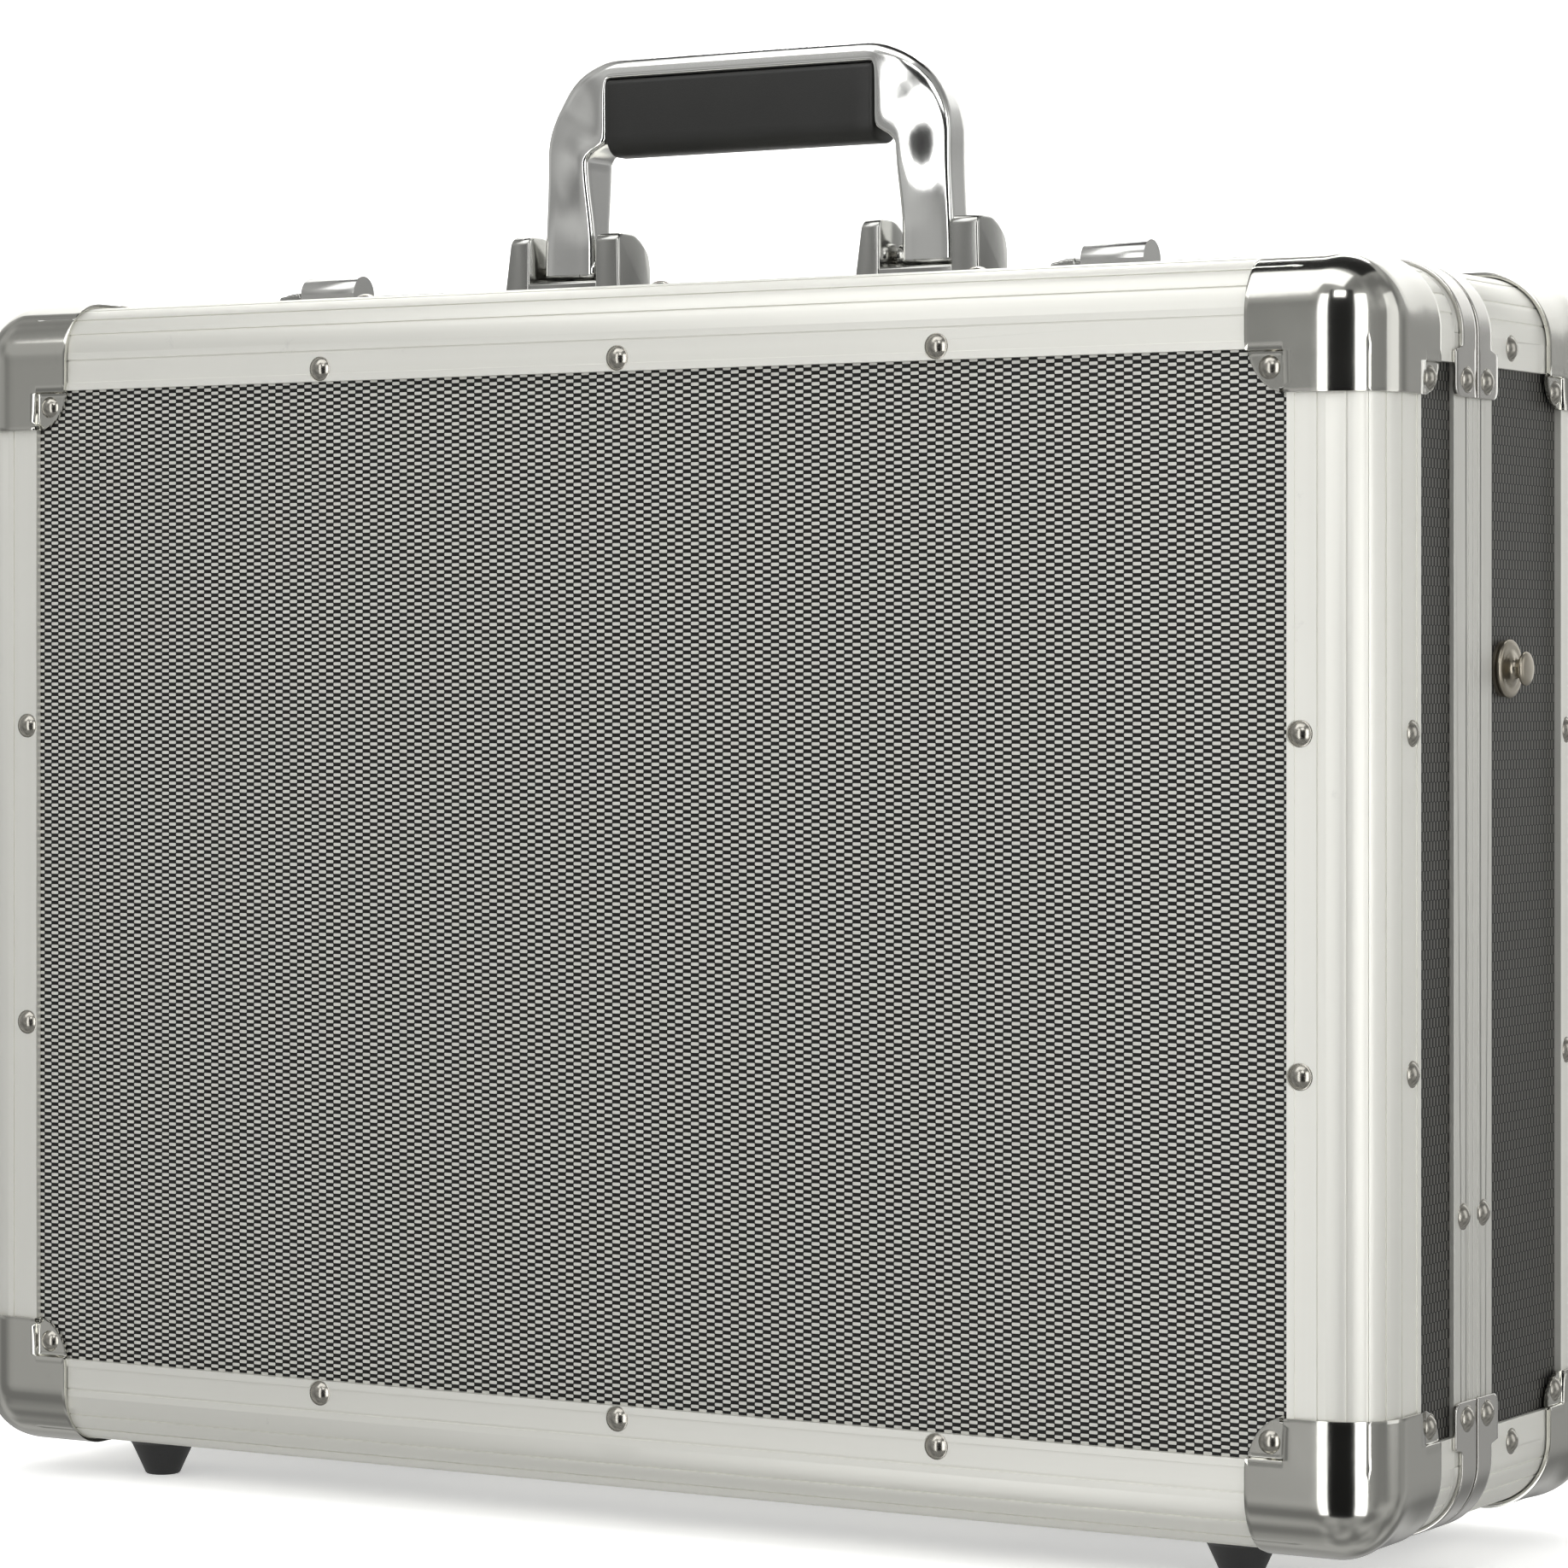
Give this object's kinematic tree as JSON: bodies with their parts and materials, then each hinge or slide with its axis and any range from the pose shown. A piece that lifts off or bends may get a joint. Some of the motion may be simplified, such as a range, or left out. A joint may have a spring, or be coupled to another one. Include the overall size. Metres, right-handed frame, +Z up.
{
  "type": "hard tool case",
  "caption": "Aluminium-framed hard carrying case of two hinged half shells, with pressed corners, latches, a folding handle and rubber feet.",
  "frame": {"origin": "on the plane the feet stand on, under the middle of the case", "axes": "+X to the case's right along its width, +Y to its back through its depth, +Z up towards the handle"},
  "size_m": [0.4722, 0.1534, 0.4199],
  "materials": {
    "laminate": "light grey and near-black rectangular chequer under a clear film, satin",
    "aluminium": "satin anodised, finely grooved along its length",
    "corner_chrome": "bright plated pressed steel",
    "rivet_steel": "domed, slightly warm grey",
    "lining": "short-pile lining over foam",
    "foot_rubber": "matt black",
    "stud_nickel": "antique nickel plate, satin",
    "hinge_steel": "zinc plated",
    "handle_chrome": "polished plated die casting",
    "grip": "matt black, fine texture",
    "latch_steel": "plated pressed steel"
  },
  "bodies": {
    "base": {"base_back_panel": "laminate", "base_top_panel": "laminate", "base_bottom_panel": "laminate", "base_left_panel": "laminate", "base_right_panel": "laminate", "base_edge_top": "aluminium", "base_edge_bottom": "aluminium", "base_edge_left": "aluminium", "base_edge_right": "aluminium", "base_depth_rails": "aluminium", "base_frame_top": "aluminium", "base_frame_bottom": "aluminium", "base_frame_left": "aluminium", "base_frame_right": "aluminium", "base_frame_elbows": "aluminium", "base_corners": "corner_chrome", "base_clips": "corner_chrome", "base_rivets": "rivet_steel", "handle_screws": "rivet_steel", "handle_pins": "rivet_steel", "hinge_pins": "rivet_steel", "base_lining": "lining", "base_feet": "foot_rubber", "strap_studs": "stud_nickel", "hinge_base_leaves": "hinge_steel", "handle_bracket_left": "handle_chrome", "handle_bracket_right": "handle_chrome", "latch_body_left": "latch_steel", "latch_body_right": "latch_steel", "base_foot_screws": "rivet_steel"},
    "lid": {"lid_front_panel": "laminate", "lid_top_panel": "laminate", "lid_bottom_panel": "laminate", "lid_left_panel": "laminate", "lid_right_panel": "laminate", "lid_edge_top": "aluminium", "lid_edge_bottom": "aluminium", "lid_edge_left": "aluminium", "lid_edge_right": "aluminium", "lid_depth_rails": "aluminium", "lid_frame_top": "aluminium", "lid_frame_bottom": "aluminium", "lid_frame_left": "aluminium", "lid_frame_right": "aluminium", "lid_frame_elbows": "aluminium", "lid_corners": "corner_chrome", "lid_clips": "corner_chrome", "lid_rivets": "rivet_steel", "lid_lining": "lining", "lid_feet": "foot_rubber", "lid_foot_screws": "rivet_steel", "hinge_lid_leaves": "hinge_steel", "latch_strikes": "latch_steel"},
    "handle": {"handle_bow": "handle_chrome", "handle_grip": "grip"},
    "hasp_left": {"hasp_left": "latch_steel"},
    "hasp_right": {"hasp_right": "latch_steel"},
    "slider_left": {"latch_slider_left": "latch_steel"},
    "slider_right": {"latch_slider_right": "latch_steel"}
  },
  "joints": [
    {"name": "lid_hinge", "type": "hinge", "parent": "base", "child": "lid", "pos_m": [0, -0.0125, 0.0088], "axis": [1, 0, 0], "range_deg": [0, 95]},
    {"name": "handle_swing", "type": "hinge", "parent": "base", "child": "handle", "pos_m": [0, -0.001, 0.3582], "axis": [-1, 0, 0], "range_deg": [0, 90]},
    {"name": "hasp_left_lift", "type": "hinge", "parent": "base", "child": "hasp_left", "pos_m": [-0.1402, 0.0026, 0.3521], "axis": [-1, 0, 0], "range_deg": [0, 100]},
    {"name": "hasp_right_lift", "type": "hinge", "parent": "base", "child": "hasp_right", "pos_m": [0.1248, 0.0026, 0.3521], "axis": [-1, 0, 0], "range_deg": [0, 100]},
    {"name": "slider_left_push", "type": "slide", "parent": "base", "child": "slider_left", "axis": [1, 0, 0], "range_m": [0, 0.003]},
    {"name": "slider_right_push", "type": "slide", "parent": "base", "child": "slider_right", "axis": [1, 0, 0], "range_m": [0, 0.003]}
  ]
}
